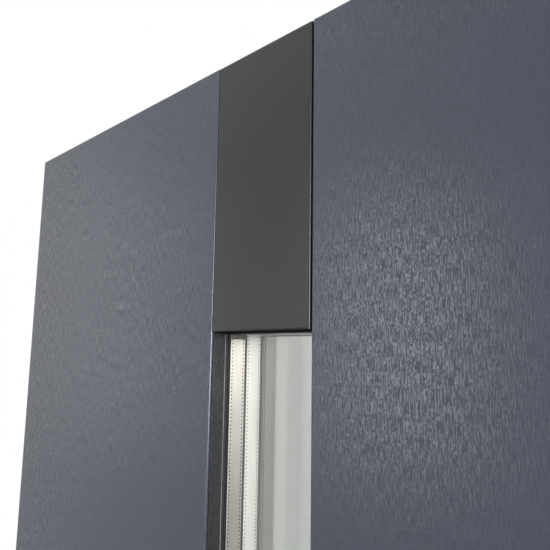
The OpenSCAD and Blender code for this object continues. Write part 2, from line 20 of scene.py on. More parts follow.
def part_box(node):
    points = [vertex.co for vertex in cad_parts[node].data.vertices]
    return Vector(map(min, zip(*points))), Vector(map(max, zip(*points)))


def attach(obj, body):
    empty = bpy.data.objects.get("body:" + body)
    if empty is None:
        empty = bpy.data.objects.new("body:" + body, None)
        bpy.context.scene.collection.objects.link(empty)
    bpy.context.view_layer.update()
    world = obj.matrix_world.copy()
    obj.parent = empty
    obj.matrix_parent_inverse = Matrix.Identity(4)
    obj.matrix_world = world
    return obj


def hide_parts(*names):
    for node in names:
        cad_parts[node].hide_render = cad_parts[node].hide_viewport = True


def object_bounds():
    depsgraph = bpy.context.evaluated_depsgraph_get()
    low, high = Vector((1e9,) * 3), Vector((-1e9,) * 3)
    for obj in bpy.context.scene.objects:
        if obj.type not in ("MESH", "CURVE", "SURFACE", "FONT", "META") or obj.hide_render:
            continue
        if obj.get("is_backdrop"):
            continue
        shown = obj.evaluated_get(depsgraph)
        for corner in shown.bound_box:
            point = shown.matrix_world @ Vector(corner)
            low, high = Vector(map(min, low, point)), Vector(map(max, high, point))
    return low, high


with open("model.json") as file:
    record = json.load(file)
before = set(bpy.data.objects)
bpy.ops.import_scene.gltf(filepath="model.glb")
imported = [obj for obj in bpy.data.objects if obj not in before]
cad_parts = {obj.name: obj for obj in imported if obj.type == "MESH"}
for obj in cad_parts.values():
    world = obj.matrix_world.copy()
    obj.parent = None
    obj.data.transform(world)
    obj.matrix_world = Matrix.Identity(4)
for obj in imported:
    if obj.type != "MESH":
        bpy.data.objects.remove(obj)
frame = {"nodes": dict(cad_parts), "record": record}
cad_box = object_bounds()
MM = 0.001
print("nodes:", len(frame["nodes"]))
print("box:", [tuple(round(v, 4) for v in corner) for corner in cad_box])

# %% [markdown]
# ## The camera
#
# The photograph was taken close to the door, from the right and at eye height, looking up along
# the strip. A camera can be turned by hand until lines agree, but a lens that is this close shows
# every error. So the place, the three angles and the focal length were solved from the vanishing
# points of the door's own edges, and they are written here as they came out. The matrix has the
# camera's right, up and backward directions as columns.

# %% Camera from its solved angles
YAW, PITCH, ROLL = np.radians((45.06, 8.19, 0.91))
EYE = (0.3622, -0.3950, 1.7585)
FOCAL_PIXELS, PICTURE_PIXELS = 572.4, 550
SENSOR = 36.0
NEAREST = 0.01

forward = np.array((-math.sin(YAW) * math.cos(PITCH), math.cos(YAW) * math.cos(PITCH),
                    math.sin(PITCH)))
level = np.array((math.cos(YAW), math.sin(YAW), 0))
upright = np.cross(level, forward)
right = math.cos(ROLL) * level + math.sin(ROLL) * upright
up = math.cos(ROLL) * upright - math.sin(ROLL) * level

camera = bpy.data.objects.new("eye_level_camera", bpy.data.cameras.new("eye_level_camera"))
camera.data.sensor_width = SENSOR
camera.data.sensor_fit = "HORIZONTAL"
camera.data.lens = SENSOR * (FOCAL_PIXELS / PICTURE_PIXELS)
camera.data.clip_start = NEAREST
turn = np.eye(4)
turn[:3] = np.column_stack((right, up, -forward, EYE))
camera.matrix_world = Matrix(turn.tolist())
bpy.context.scene.collection.objects.link(camera)
bpy.context.scene.camera = camera
print("lens:", round(camera.data.lens, 2), "mm, looking along", forward.round(3))

# %% [markdown]
# ## Lines with soft corners
#
# Nearly every piece of this door is an outline that runs round a rectangle: a panel's edge, a
# folded plate, a gasket, a spacer bar. What makes them look real is that no corner is perfectly
# sharp. A Bevel modifier could round them afterwards, but here the outline itself is rounded
# first, as a draughtsman would draw it, and every corner has a radius of its own.

# %% Rounded line
ARC_STEPS = 6
FLAT_SHARE = 0.1


def rounded_line(points, radii):
    """A line through points whose inner corners are rounded by radii; its two ends stay.

    Where the line turns by an angle t, an arc of radius r touches both sides at r * tan(t / 2)
    from the corner. One more point on each side, a tenth of a radius further out, keeps the flat
    beside the arc flat when it is shaded smooth.
    """
    points, radii = np.asarray(points, float), np.asarray(radii, float)[:, None]
    step = np.diff(points, axis=0)
    step /= np.linalg.norm(step, axis=1, keepdims=True)
    before, after, corner = step[:-1], step[1:], points[1:-1]
    turned = np.arctan2(np.cross(before, after), (before * after).sum(1))[:, None]
    reach = radii * np.tan(np.abs(turned) / 2)
    start = corner - before * reach
    centre = start + np.sign(turned) * radii * np.column_stack((-before[:, 1], before[:, 0]))
    spoke = start - centre
    angle = turned * np.linspace(0, 1, ARC_STEPS + 1)
    cos, sin = np.cos(angle)[..., None], np.sin(angle)[..., None]
    quarter = np.column_stack((-spoke[:, 1], spoke[:, 0]))
    arc = centre[:, None] + spoke[:, None] * cos + quarter[:, None] * sin
    first = corner - before * (reach + FLAT_SHARE * radii)
    last = corner + after * (reach + FLAT_SHARE * radii)
    bends = np.concatenate((first[:, None], arc, last[:, None]), axis=1).reshape(-1, 2)
    return np.concatenate((points[:1], bends, points[-1:]))


print("points on a line with one corner:", len(rounded_line([(0, 0), (1, 0), (1, 1)], [0.2])))

# %% [markdown]
# ## Carrying a line round a rectangle
#
# A picture frame is made by cutting one moulding at 45 degrees. The same is done here with arrays:
# each point of the line has an outset from the rectangle and a depth, and each corner of the
# rectangle moves out along its diagonal by that outset. A line that ends where it starts gives a
# closed ring, such as a gasket. A line that stays open gives a dish, such as a panel, and two flat
# faces close it.

# %% Rings and dishes
CORNER_SIGNS = np.array(((-1, -1), (1, -1), (1, 1), (-1, 1)), float)
CORNERS = len(CORNER_SIGNS)


def carry_round(low, high, line):
    """Points of a line of (outset, depth) carried round the rectangle from low to high in X and Z.

    Point = corner + outset * (+-1, +-1) in X and Z, and the line's depth in Y: four rows, one for
    each corner.
    """
    outset, depth = line.T
    corner = np.where(CORNER_SIGNS < 0, low, high)
    plan = corner[:, None] + CORNER_SIGNS[:, None] * outset[:, None]
    return np.stack((plan[..., 0], np.broadcast_to(depth, plan.shape[:2]), plan[..., 1]), axis=-1)


def grid_quads(rows, columns, close_columns):
    """Faces between neighbours of a grid whose last row joins its first; columns may join too."""
    row = np.arange(rows)[:, None]
    column = np.arange(columns if close_columns else columns - 1)
    next_row, next_column = (row + 1) % rows, (column + 1) % columns
    corners = (row * columns + column, next_row * columns + column,
               next_row * columns + next_column, row * columns + next_column)
    return np.stack(np.broadcast_arrays(*corners), axis=-1).reshape(-1, 4)


def ring(low, high, line):
    """Closed ring: the line's last point is its first again, so it is left out."""
    points = carry_round(low, high, line[:-1])
    return points.reshape(-1, 3), grid_quads(CORNERS, len(line) - 1, True)


def dish(low, high, line):
    """Dish: an open line, with a flat face over each of its two ends."""
    points = carry_round(low, high, line)
    ends = np.arange(CORNERS) * len(line) + np.array((0, len(line) - 1))[:, None]
    return points.reshape(-1, 3), np.concatenate((grid_quads(CORNERS, len(line), False), ends))


print("faces of a ring of 20 points:", len(grid_quads(CORNERS, 20, True)))

# %% [markdown]
# ## From arrays to a Blender object
#
# A mesh takes its points and faces as lists, and then it needs three more things. Its faces must
# point outwards, it must be shaded smooth except at real edges, and it must ride on a body of the
# door, so that it swings with the leaf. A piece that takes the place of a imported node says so, and
# the node is hidden.

# %% Make a piece
EDGE_ANGLE = math.radians(32)


def make_piece(name, shape, finish, body, stands_for=()):
    """Object at the origin from (points, faces): outward faces, smooth arcs, a finish, a body."""
    points, faces = shape
    mesh = bpy.data.meshes.new(name)
    mesh.from_pydata(points.tolist(), [], [list(face) for face in faces])
    with_normals = bmesh.new()
    with_normals.from_mesh(mesh)
    bmesh.ops.recalc_face_normals(with_normals, faces=with_normals.faces)
    with_normals.to_mesh(mesh)
    with_normals.free()
    mesh.shade_smooth()
    mesh.set_sharp_from_angle(angle=EDGE_ANGLE)
    mesh.materials.append(finish)
    piece = bpy.data.objects.new(name, mesh)
    bpy.context.scene.collection.objects.link(piece)
    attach(piece, body)
    if stands_for:
        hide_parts(*stands_for)
    print(name, "faces:", len(mesh.polygons))
    return piece


print("edges stay sharp from", round(math.degrees(EDGE_ANGLE)), "degrees")

# %% [markdown]
# ## Building finishes from nodes
#
# Each finish is a small graph of nodes around one Principled shader. Image textures would be
# quicker, but they stretch over edges and repeat. Noise on Object coordinates is measured in
# metres, so a mark of 0.8 mm stays 0.8 mm on every piece. The first helpers turn a chart colour
# into a linear one, make a node and start a finish.

# %% Colours, nodes and finishes


def paint_chart(*levels):
    """Linear colour from the 0 to 255 levels of a paint chart, by the sRGB curve."""
    share = np.asarray(levels, float) / 255
    linear = np.where(share <= 0.04045, share / 12.92, ((share + 0.055) / 1.055) ** 2.4)
    return (*linear.tolist(), 1.0)


def add_node(tree, kind, inputs=None, **settings):
    """New node whose inputs are either linked, where the value is a socket, or set."""
    node = tree.nodes.new(kind)
    for name, value in settings.items():
        setattr(node, name, value)
    for name, value in (inputs or {}).items():
        if isinstance(value, bpy.types.NodeSocket):
            tree.links.new(value, node.inputs[name])
        else:
            node.inputs[name].default_value = value
    return node


def new_finish(name, **values):
    """Material, its tree and its Principled shader, whose own sockets hold the constant values."""
    material = bpy.data.materials.new(name)
    material.use_nodes = True
    shader = material.node_tree.nodes["Principled BSDF"]
    for socket, value in values.items():
        shader.inputs[socket.replace("_", " ")].default_value = value
    return material, material.node_tree, shader


print("middle grey of the chart:", round(paint_chart(128, 128, 128)[0], 3))

# %% [markdown]
# The next helpers are the parts of every graph: a stretched noise, a sum, a colour ramp, a range
# that is spread out, and an embossing. Two more join them to the shader, because nearly all
# finishes vary their colour and their gloss with one noise.

# %% Parts of a finish


def marks(tree, per_metre, detail=2.0, roughness=0.5):
    """Noise with so many marks in a metre of X, Y and Z, from 0 to 1."""
    place = add_node(tree, "ShaderNodeTexCoord").outputs["Object"]
    stretched = add_node(tree, "ShaderNodeMapping", {"Vector": place, "Scale": per_metre})
    noise = add_node(tree, "ShaderNodeTexNoise", {
        "Vector": stretched.outputs["Vector"], "Scale": 1.0, "Detail": detail,
        "Roughness": roughness})
    return noise.outputs["Fac"]


def work_out(tree, operation, *values):
    """Result of a Math node whose inputs, in their order, are numbers or sockets."""
    return add_node(tree, "ShaderNodeMath", dict(enumerate(values)), operation=operation).outputs[0]


def blend_colours(tree, factor, *stops):
    """Colour ramp over the factor: stops of (place, colour)."""
    ramp = add_node(tree, "ShaderNodeValToRGB", {"Fac": factor})
    while len(ramp.color_ramp.elements) < len(stops):
        ramp.color_ramp.elements.new(0.5)
    for element, (place, colour) in zip(ramp.color_ramp.elements, stops):
        element.position, element.color = place, colour
    return ramp.outputs["Color"]


def spread_values(tree, factor, low, high, start=0.0, end=1.0, kind="LINEAR"):
    """The factor's range from start to end, stretched from low to high."""
    spread = add_node(tree, "ShaderNodeMapRange", {
        "Value": factor, "From Min": start, "From Max": end, "To Min": low, "To Max": high},
        interpolation_type=kind)
    return spread.outputs["Result"]


def emboss(tree, shader, height, depth):
    """Bump of that depth in metres on the shader's normal."""
    bump = add_node(tree, "ShaderNodeBump", {"Height": height, "Distance": depth, "Strength": 1.0})
    tree.links.new(bump.outputs["Normal"], shader.inputs["Normal"])


def vary_colour(tree, shader, noise, levels, shares, limits):
    """Base colour = chart levels * share: the two shares belong to the noise's two limits."""
    stops = [(limit, paint_chart(*(np.asarray(levels) * share)))
             for limit, share in zip(limits, shares)]
    tree.links.new(blend_colours(tree, noise, *stops), shader.inputs["Base Color"])


def vary_gloss(tree, shader, noise, roughness, gloss, limits=(0.0, 1.0)):
    """Roughness goes from roughness + gloss to roughness - gloss between the noise's two limits."""
    varied = spread_values(tree, noise, roughness + gloss, roughness - gloss, *limits)
    tree.links.new(varied, shader.inputs["Roughness"])


print("parts of a finish are ready")

# %% [markdown]
# ## The grain film on the panels
#
# The panels wear an anthracite film that is pressed to look like fine open-pored wood: upright
# strokes, less than a millimetre wide and a few millimetres long. Wood boards could be modelled,
# but these strokes are far too many for a mesh, so they are noises stretched along Z, a short one
# and a long one, because the strokes have no single length. They darken the pores, roughen them
# and emboss them together, because on the real film all three come from the same roller.

# %% Grain film
STROKES_ACROSS, LONG_ALONG, SHORT_ALONG = 1200, 100, 400
LONG_SHARE, SHORT_SHARE, STROKE_SHIFT = 0.76, 0.70, -0.23
SLOW_MARKS, SLOW_SHARE = (5, 5, 2), 0.22
GRAIN_TONES = ((0.46, paint_chart(43, 47, 58)), (0.61, paint_chart(49, 54, 66)),
               (0.76, paint_chart(56, 61, 74)))
ARRIS_FROM, FACE_FROM = 0.90, 0.99
PORE_BELOW, RIDGE_ABOVE = 0.42, 0.60
PORE_ROUGHNESS, RIDGE_ROUGHNESS, ARRIS_ROUGHNESS = 0.60, 0.13, 0.21
GRAIN_DEPTH = 0.00009


def grain_film():
    """Strokes = short noise * its share + long noise * its share + a shift.

    A slow noise shifts the whole tone a little. Flatness = the size of the normal's Y share,
    spread from 0 on the arris, where the film is pulled smooth, to 1 on the face.
    """
    finish, tree, shader = new_finish("grain_film", Specular_IOR_Level=0.45)
    long_strokes, short_strokes = (
        marks(tree, (STROKES_ACROSS, STROKES_ACROSS, lengthwise), detail=1.0)
        for lengthwise in (LONG_ALONG, SHORT_ALONG))
    base = work_out(tree, "MULTIPLY_ADD", long_strokes, LONG_SHARE, STROKE_SHIFT)
    strokes = work_out(tree, "MULTIPLY_ADD", short_strokes, SHORT_SHARE, base)
    tone = work_out(tree, "MULTIPLY_ADD", marks(tree, SLOW_MARKS), SLOW_SHARE, strokes)
    tree.links.new(blend_colours(tree, tone, *GRAIN_TONES), shader.inputs["Base Color"])

    normal = add_node(tree, "ShaderNodeTexCoord").outputs["Normal"]
    facing = add_node(tree, "ShaderNodeSeparateXYZ", {0: normal}).outputs["Y"]
    flatness = spread_values(tree, work_out(tree, "ABSOLUTE", facing), 0.0, 1.0,
                             ARRIS_FROM, FACE_FROM)
    pressed = spread_values(tree, strokes, PORE_ROUGHNESS, RIDGE_ROUGHNESS,
                            PORE_BELOW, RIDGE_ABOVE)
    gloss = add_node(tree, "ShaderNodeMix", {
        "Factor": flatness, "A": ARRIS_ROUGHNESS, "B": pressed})
    tree.links.new(gloss.outputs["Result"], shader.inputs["Roughness"])
    emboss(tree, shader, work_out(tree, "MULTIPLY", strokes, flatness), GRAIN_DEPTH)
    return finish


GRAIN_FILM = grain_film()
print("made", GRAIN_FILM.name)

# %% [markdown]
# ## Powder paints
#
# The folded plates, the leaf's trays and the frame are powder coated. Powder melts into a skin
# that is even in colour but not quite flat: a fine orange peel breaks up every reflection. One
# function makes all these paints, with the chart colour, the gloss and the size of the peel as its
# values.

# %% Powder paints
CLOUDS = (9, 9, 9)


def powder_paint(name, levels, roughness, grains, depth, specular=0.35):
    """Chart colour that varies by a few levels in slow clouds.

    The peel is a round noise of so many grains a metre, and it varies the gloss and embosses.
    """
    finish, tree, shader = new_finish(name, Specular_IOR_Level=specular)
    peel = marks(tree, (grains, grains, grains), detail=1.5)
    cloud = marks(tree, CLOUDS, detail=3.0)
    vary_colour(tree, shader, cloud, levels, shares=(0.93, 1.06), limits=(0.3, 0.7))
    vary_gloss(tree, shader, peel, roughness, gloss=0.06)
    emboss(tree, shader, peel, depth)
    return finish


PLATE_PAINT = powder_paint("plate_paint", (37, 38, 38), 0.30, grains=2600, depth=0.00001,
                           specular=0.23)
LEAF_PAINT = powder_paint("leaf_paint", (46, 48, 51), 0.45, grains=1500, depth=0.00006)
FRAME_PAINT = powder_paint("frame_paint", (52, 54, 57), 0.45, grains=1500, depth=0.00006)
BLACK_METAL = powder_paint("black_metal", (24, 24, 25), 0.34, grains=2400, depth=0.00002,
                           specular=0.5)
print("made", [paint.name for paint in (PLATE_PAINT, LEAF_PAINT, FRAME_PAINT, BLACK_METAL)])

# %% [markdown]
# ## Film, rubber and plastics
#
# The recess is lined with a black embossed film, the glass sits in soft black gaskets, and the
# inner bead is a pale plastic. They differ mainly in how they break up the light, so each has its
# own noise: coarse leather-like strokes for the film, fine bloom for rubber, and almost nothing
# for the bead. Shade, for small holes, is soft too, and so are three finishes that paint light:
# a pale bead as the highlight on the lining's edge, a black tape as the shade under the
# plates, and the spacer bar's key plates, dark partly by painted shade.

# %% Film, rubber and plastics


def soft_finish(name, levels, roughness, per_metre, depth, contrast, specular=0.35, gloss=0.08):
    """Chart colour that darkens and lightens by a share, contrast, with its own noise.

    Where the noise is high, the finish is also glossier, and the noise embosses it.
    """
    finish, tree, shader = new_finish(name, Specular_IOR_Level=specular)
    noise = marks(tree, per_metre, detail=2.5, roughness=0.6)
    vary_colour(tree, shader, noise, levels, (1 - contrast, 1 + contrast), limits=(0.34, 0.66))
    vary_gloss(tree, shader, noise, roughness, gloss, limits=(0.3, 0.7))
    emboss(tree, shader, noise, depth)
    return finish


LINING_FILM = soft_finish("lining_film", (21, 21, 22), 0.48, (800, 800, 240), depth=0.00050,
                          contrast=0.9, specular=0.25, gloss=0.26)
# pale colour of a bead that paints the highlight on the lining's rolled edge
PAINTED_EDGE_HIGHLIGHT = soft_finish("lining_highlight_paint", (104, 104, 104), 0.40, (900, 900, 60), depth=0.00002,
                          contrast=0.10)
SEAL_RUBBER = soft_finish("seal_rubber", (22, 22, 22), 0.55, (1400, 1400, 1400), depth=0.00004,
                          contrast=0.18)
PALE_RUBBER = soft_finish("pale_rubber", (232, 235, 229), 0.55, (1400, 1400, 1400), depth=0.00003,
                          contrast=0.03)
BEAD_PLASTIC = soft_finish("bead_plastic", (238, 235, 229), 0.40, (700, 700, 700), depth=0.00002,
                           contrast=0.02)
# black tape whose black paints the shade under the plates' folds
BLACK_SHADE_TAPE = soft_finish("shade_tape_black", (17, 17, 17), 0.95, (1200, 1200, 1200), depth=0.00010,
                        contrast=0.3, specular=0.0)
BREAK_PLASTIC = soft_finish("break_plastic", (26, 26, 27), 0.50, (600, 600, 60), depth=0.00006,
                            contrast=0.15)
PERFORATION = soft_finish("perforation_shade", (38, 36, 34), 0.8, (3000, 3000, 3000),
                          depth=0.00001, contrast=0.2, specular=0.1)
# key plates' colour, partly their own and partly painted shade in the bar's corners
KEY_PLATE_SHADE = soft_finish("spacer_key_shade", (80, 77, 71), 0.55, (1100, 1100, 1100), depth=0.00005,
                         contrast=0.50)
print("made", [finish.name for finish in (
    LINING_FILM, PAINTED_EDGE_HIGHLIGHT, SEAL_RUBBER, PALE_RUBBER, BEAD_PLASTIC, BLACK_SHADE_TAPE, BREAK_PLASTIC,
    PERFORATION, KEY_PLATE_SHADE)])

# %% [markdown]
# ## Metals
#
# Rolled, drawn and brushed metal all carry lines in the direction of the work. A noise that is
# stretched a hundred times along that direction gives the lines, and they vary the roughness more
# than the colour. The spacer bars run upright, so their lines do; the sill is drawn along X.

# %% Metals


def lined_metal(name, levels, roughness, per_metre, depth, metallic=1.0):
    """Metal with lines: noise stretched along the direction that has the fewest marks a metre."""
    finish, tree, shader = new_finish(name, Metallic=metallic)
    lines = marks(tree, per_metre, detail=3.0, roughness=0.6)
    vary_colour(tree, shader, lines, levels, shares=(0.94, 1.03), limits=(0.3, 0.7))
    vary_gloss(tree, shader, lines, roughness, gloss=0.08)
    emboss(tree, shader, lines, depth)
    return finish


SPACER_GREY = lined_metal("spacer_grey", (198, 192, 186), 0.40, (1800, 1800, 25), depth=0.000004)
SPACER_WHITE = lined_metal("spacer_white", (222, 219, 214), 0.45, (1800, 1800, 25), depth=0.000004,
                           metallic=0.3)
SILL_ALUMINIUM = lined_metal("sill_aluminium", (134, 136, 138), 0.48, (14, 1500, 1500),
                             depth=0.00002)
BRUSHED_STEEL = lined_metal("brushed_steel", (186, 188, 190), 0.30, (1600, 1600, 30),
                            depth=0.00001)
print("made", [metal.name for metal in (SPACER_GREY, SPACER_WHITE, SILL_ALUMINIUM, BRUSHED_STEEL)])

# %% [markdown]
# ## Glass
#
# The panes are closed solids of real thickness, so light bends on the way in and out and the
# spacer bars appear a little nearer, as they do in the photograph. Cycles takes glass to block
# lamps, and a lamp that shines through by chance is noisy. So a Light Path node lets shadow rays
# pass as through a clear sheet. The inner pane carries the thin heat-reflecting coating of such
# units, and takes more of the light.

# %% Glass


def window_glass(name, tint):
    """Clear Principled glass for sight, and a Transparent shader of that tint for shadow rays."""
    finish, tree, shader = new_finish(name, Base_Color=tint, Roughness=0.0, IOR=1.5,
                                      Transmission_Weight=1.0)
    lamps = add_node(tree, "ShaderNodeBsdfTransparent", {"Color": tint})
    path = add_node(tree, "ShaderNodeLightPath")
    choice = add_node(tree, "ShaderNodeMixShader", {
        0: path.outputs["Is Shadow Ray"], 1: shader.outputs["BSDF"], 2: lamps.outputs["BSDF"]})
    tree.links.new(choice.outputs["Shader"], tree.nodes["Material Output"].inputs["Surface"])
    return finish


CLEAR_GLASS = window_glass("clear_glass", (0.97, 0.985, 0.975, 1.0))
COATED_GLASS = window_glass("coated_glass", (0.40, 0.40, 0.385, 1.0))
print("made", CLEAR_GLASS.name, COATED_GLASS.name)

# %% [markdown]
# ## Facing panels
#
# Each panel is a slab with its film wrapped over a 2 mm arris. That arris is what catches the light
# as a thin bright line beside the strip. A cube with a Bevel modifier would come close, but the
# rounded line gives the front and the back edge their own radii. It starts on the back, goes round
# the edge and ends on the face, and the dish closes it with two flats.

# %% Facing panels
ARRIS, BACK_EDGE = 2 * MM, 0.4 * MM
REACH = 12 * MM


def panel(node, faces_out):
    """Slab in the node's box: its back edge is broken, and its front edge rounded by the arris."""
    low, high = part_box(node)
    back, front = (high.y, low.y) if faces_out else (low.y, high.y)
    line = rounded_line([(-REACH, back), (0, back), (0, front), (-REACH, front)],
                        [BACK_EDGE, ARRIS])
    return dish((low.x, low.z), (high.x, high.z), line)


for side in ("left", "right"):
    for face in ("outer", "inner"):
        node = f"{face}_panel_{side}"
        make_piece(f"{node}_film", panel(node, face == "outer"), GRAIN_FILM, "leaf",
                   [node])

# %% [markdown]
# ## Folded plates
#
# Above and below the window a plate of 1.5 mm sheet is folded back on all four sides, so its edges
# are round and its back is open. It is a dish too, with a longer line: over the face, round the
# fold, down the return, across the cut edge and up the inside again. The outer plates are pushed
# close to the left panel, as in the photograph, so only the gap on their right shows as a dark
# line.

# %% Folded plates
SHEET = 1.5 * MM
FOLD, CUT_EDGE = 2.5 * MM, 0.2 * MM
PUSHED = 1.7 * MM


def folded_plate(node, faces_out):
    """Tray in the node's box: the line follows the sheet's outside and comes back inside it."""
    low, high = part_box(node)
    left = low.x - PUSHED if faces_out else low.x
    back, front = (high.y, low.y) if faces_out else (low.y, high.y)
    inside = front + (SHEET if faces_out else -SHEET)
    line = rounded_line([(-REACH, front), (0, front), (0, back), (-SHEET, back), (-SHEET, inside),
                         (-REACH, inside)], [FOLD, CUT_EDGE, CUT_EDGE, FOLD - SHEET])
    return dish((left, low.z), (high.x, high.z), line)


for face in ("outer", "inner"):
    for end in ("top", "bottom"):
        node = f"{face}_plate_{end}"
        make_piece(f"{node}_sheet", folded_plate(node, face == "outer"), PLATE_PAINT, "leaf",
                   [node])

# %% [markdown]
# ## The lining of the recess
#
# A thin strip lines each side of the window recess, from the panel's edge back to the steel, with
# its back edge rolled over. It could be a dish as well, but it has no top and bottom. So the
# section is drawn once, as a closed line of X and Y, and raised along Z on both sides.

# %% Lining
LINING = 1.5 * MM
ROLLED, NOSE, HIDDEN = 1.2 * MM, 0.6 * MM, 0.1 * MM


def band(count):
    """Faces between two rings of so many points; the second ring counts on from the first."""
    spin = np.arange(count)
    after = (spin + 1) % count
    return np.column_stack((spin, after, after + count, spin + count))


def bar(line, sign, bottom, top):
    """Closed section line of (x, y) raised from bottom to top, with closed ends; sign mirrors X."""
    section = line[:-1] * (sign, 1)
    count = len(section)
    points = [np.column_stack((section, np.full(count, z))) for z in (bottom, top)]
    ends = np.arange(2 * count).reshape(2, count)
    return np.concatenate(points), [*band(count).tolist(), *ends.tolist()]


def together(*shapes):
    """Several shapes as one: the faces of each count on from the points before it."""
    starts = np.cumsum([0] + [len(points) for points, _ in shapes])
    faces = [[int(start + i) for i in face]
             for start, (_, some) in zip(starts, shapes) for face in some]
    return np.concatenate([points for points, _ in shapes]), faces


lining_low, lining_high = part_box("window_lining")
lining_inside = lining_high.x - LINING
lining_middle = (lining_low.y + lining_high.y) / 2
lining_line = rounded_line([(lining_inside, lining_middle), (lining_inside, lining_high.y),
                            (lining_high.x, lining_high.y), (lining_high.x, lining_low.y),
                            (lining_inside, lining_low.y), (lining_inside, lining_middle)],
                           [ROLLED, HIDDEN, HIDDEN, NOSE])
strips = together(*(bar(lining_line, sign, lining_low.z, lining_high.z) for sign in (-1, 1)))
make_piece("window_lining_strips", strips, LINING_FILM, "leaf", ["window_lining"])

# %% [markdown]
# The rolled edge of the lining shows as a fine pale highlight in front of the gasket, but here it
# mirrors the black gasket and stays dark. So a thin round bead in a pale finish of its own lies in
# that edge, and its pale colour is a painted highlight. A mask could paint the same line, but a
# line under a millimetre wide would need a very fine mask.

# %% Painted highlight on the lining's edge
EDGE_RADIUS = 0.4 * MM
EDGE_SUNK, EDGE_BACK, EDGE_SHORT = 0.1 * MM, 0.5 * MM, 1 * MM
EDGE_ANGLES = np.linspace(0, math.tau, 13)


def circle_line(x, y, radius):
    """Closed circle: centre + radius * (cos, sin)."""
    return np.column_stack((x + radius * np.cos(EDGE_ANGLES), y + radius * np.sin(EDGE_ANGLES)))


highlight_line = circle_line(lining_inside + EDGE_SUNK, lining_high.y - EDGE_BACK, EDGE_RADIUS)
highlight_beads = together(*(bar(highlight_line, sign, lining_low.z + EDGE_SHORT, lining_high.z - EDGE_SHORT)
                        for sign in (-1, 1)))
make_piece("window_lining_highlight_beads", highlight_beads, PAINTED_EDGE_HIGHLIGHT, "leaf")

# %% [markdown]
# ## Black tape for the shade at the ends of the recess
#
# Above and below the window no strip lines the recess: the plate's own return closes it. Under
# the plate's fold the joint lies in shade, but the bare return mirrors the white world at a
# grazing angle and shows as a light line. So a thin matt black tape lies on that return, and its
# black is painted shade. A matt black with no gloss at all is rare among finishes, and it keeps
# the tape dark from every angle.

# %% Black tape as painted shade
TAPE, TAPE_CLEAR, TAPE_ROUND = 0.6 * MM, 0.2 * MM, 0.4 * MM
tape_side = lining_inside - TAPE_CLEAR
tape_front, tape_back = lining_low.y + TAPE_CLEAR, lining_high.y - TAPE_CLEAR
tape_line = rounded_line([(0, tape_front), (tape_side, tape_front), (tape_side, tape_back),
                          (-tape_side, tape_back), (-tape_side, tape_front), (0, tape_front)],
                         np.full(4, TAPE_ROUND))
shade_tapes = together(bar(tape_line, 1, lining_low.z, lining_low.z + TAPE),
                 bar(tape_line, 1, lining_high.z - TAPE, lining_high.z))
make_piece("recess_shade_tapes", shade_tapes, BLACK_SHADE_TAPE, "leaf")

# %% [markdown]
# ## Gaskets
#
# A glazing gasket is an extruded rubber section: a lip that presses on the glass, a round bulb in
# the middle and a groove on each side of it. The photograph shows just that, as a black band with
# a lighter line along it. The section is written as a table of outsets and depths, and carried
# round the opening. The inner gasket is the same section turned round, in pale rubber.

# %% Gaskets
GASKET_LINE = np.array(((4, 0), (1.3, 0), (1.3, 0.7), (0.2, 1.15), (0.2, 2.35), (1.3, 2.75),
                        (1.3, 3.3), (-0.1, 3.9), (-0.1, 4.5), (8, 4.5), (8, 0), (4, 0))) * MM
GASKET_RADII = np.array((0.2, 0.2, 0.35, 0.35, 0.2, 0.2, 0.2, 0.12, 0.3, 0.3)) * MM

opening_low = np.array((lining_low.x, lining_low.z)) + LINING
opening_high = np.array((lining_high.x, lining_high.z)) - LINING


def gasket(node, glass_behind):
    """Gasket section carried round the opening, with its lip towards the glass."""
    low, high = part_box(node)
    line = rounded_line(GASKET_LINE, GASKET_RADII)
    line[:, 1] = low.y + line[:, 1] if glass_behind else high.y - line[:, 1]
    return ring(opening_low, opening_high, line)


make_piece("outer_gasket_lips", gasket("outer_gasket", True), SEAL_RUBBER, "leaf",
           ["outer_gasket"])
make_piece("inner_gasket_lips", gasket("inner_gasket", False), PALE_RUBBER, "leaf",
           ["inner_gasket"])

# %% [markdown]
# ## Spacer bars
#
# Two hollow bars hold the panes apart. Their inner face is flat, and their shoulders slope away
# behind it to take the sealant. A thin line of butyl seals each cheek against its pane. Both are
# sections carried round the inner face, which is the node's box less the bar's depth.

# %% Spacer bars
SPACER_DEPTH, CHEEK, SLOPE = 7 * MM, 4.8 * MM, 2.5 * MM
SPACER_RADII = np.array((0.35, 0.3, 0.4, 0.4, 0.3, 0.35)) * MM
BUTYL, BUTYL_START, BUTYL_END, BUTYL_ROUND = 0.35 * MM, 2 * MM, 4.6 * MM, 0.05 * MM
GLASS_GAP = 0.02 * MM


def inner_face(node):
    """Lowest and highest corner, in X and Z, of the inner face of a spacer bar."""
    low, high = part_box(node)
    return np.array((low.x, low.z)) + SPACER_DEPTH, np.array((high.x, high.z)) - SPACER_DEPTH


def cheeks(node):
    """Depths of the bar's two cheeks, which the butyl keeps off the panes."""
    low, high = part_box(node)
    return low.y + BUTYL, high.y - BUTYL


def spacer_bar(node):
    """Bar section carried round: flat inner face, straight cheeks and sloping shoulders."""
    low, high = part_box(node)
    (front, back), middle = cheeks(node), (low.y + high.y) / 2
    line = rounded_line([(0, middle), (0, back), (CHEEK, back), (SPACER_DEPTH, back - SLOPE),
                         (SPACER_DEPTH, front + SLOPE), (CHEEK, front), (0, front), (0, middle)],
                        SPACER_RADII)
    return ring(*inner_face(node), line)


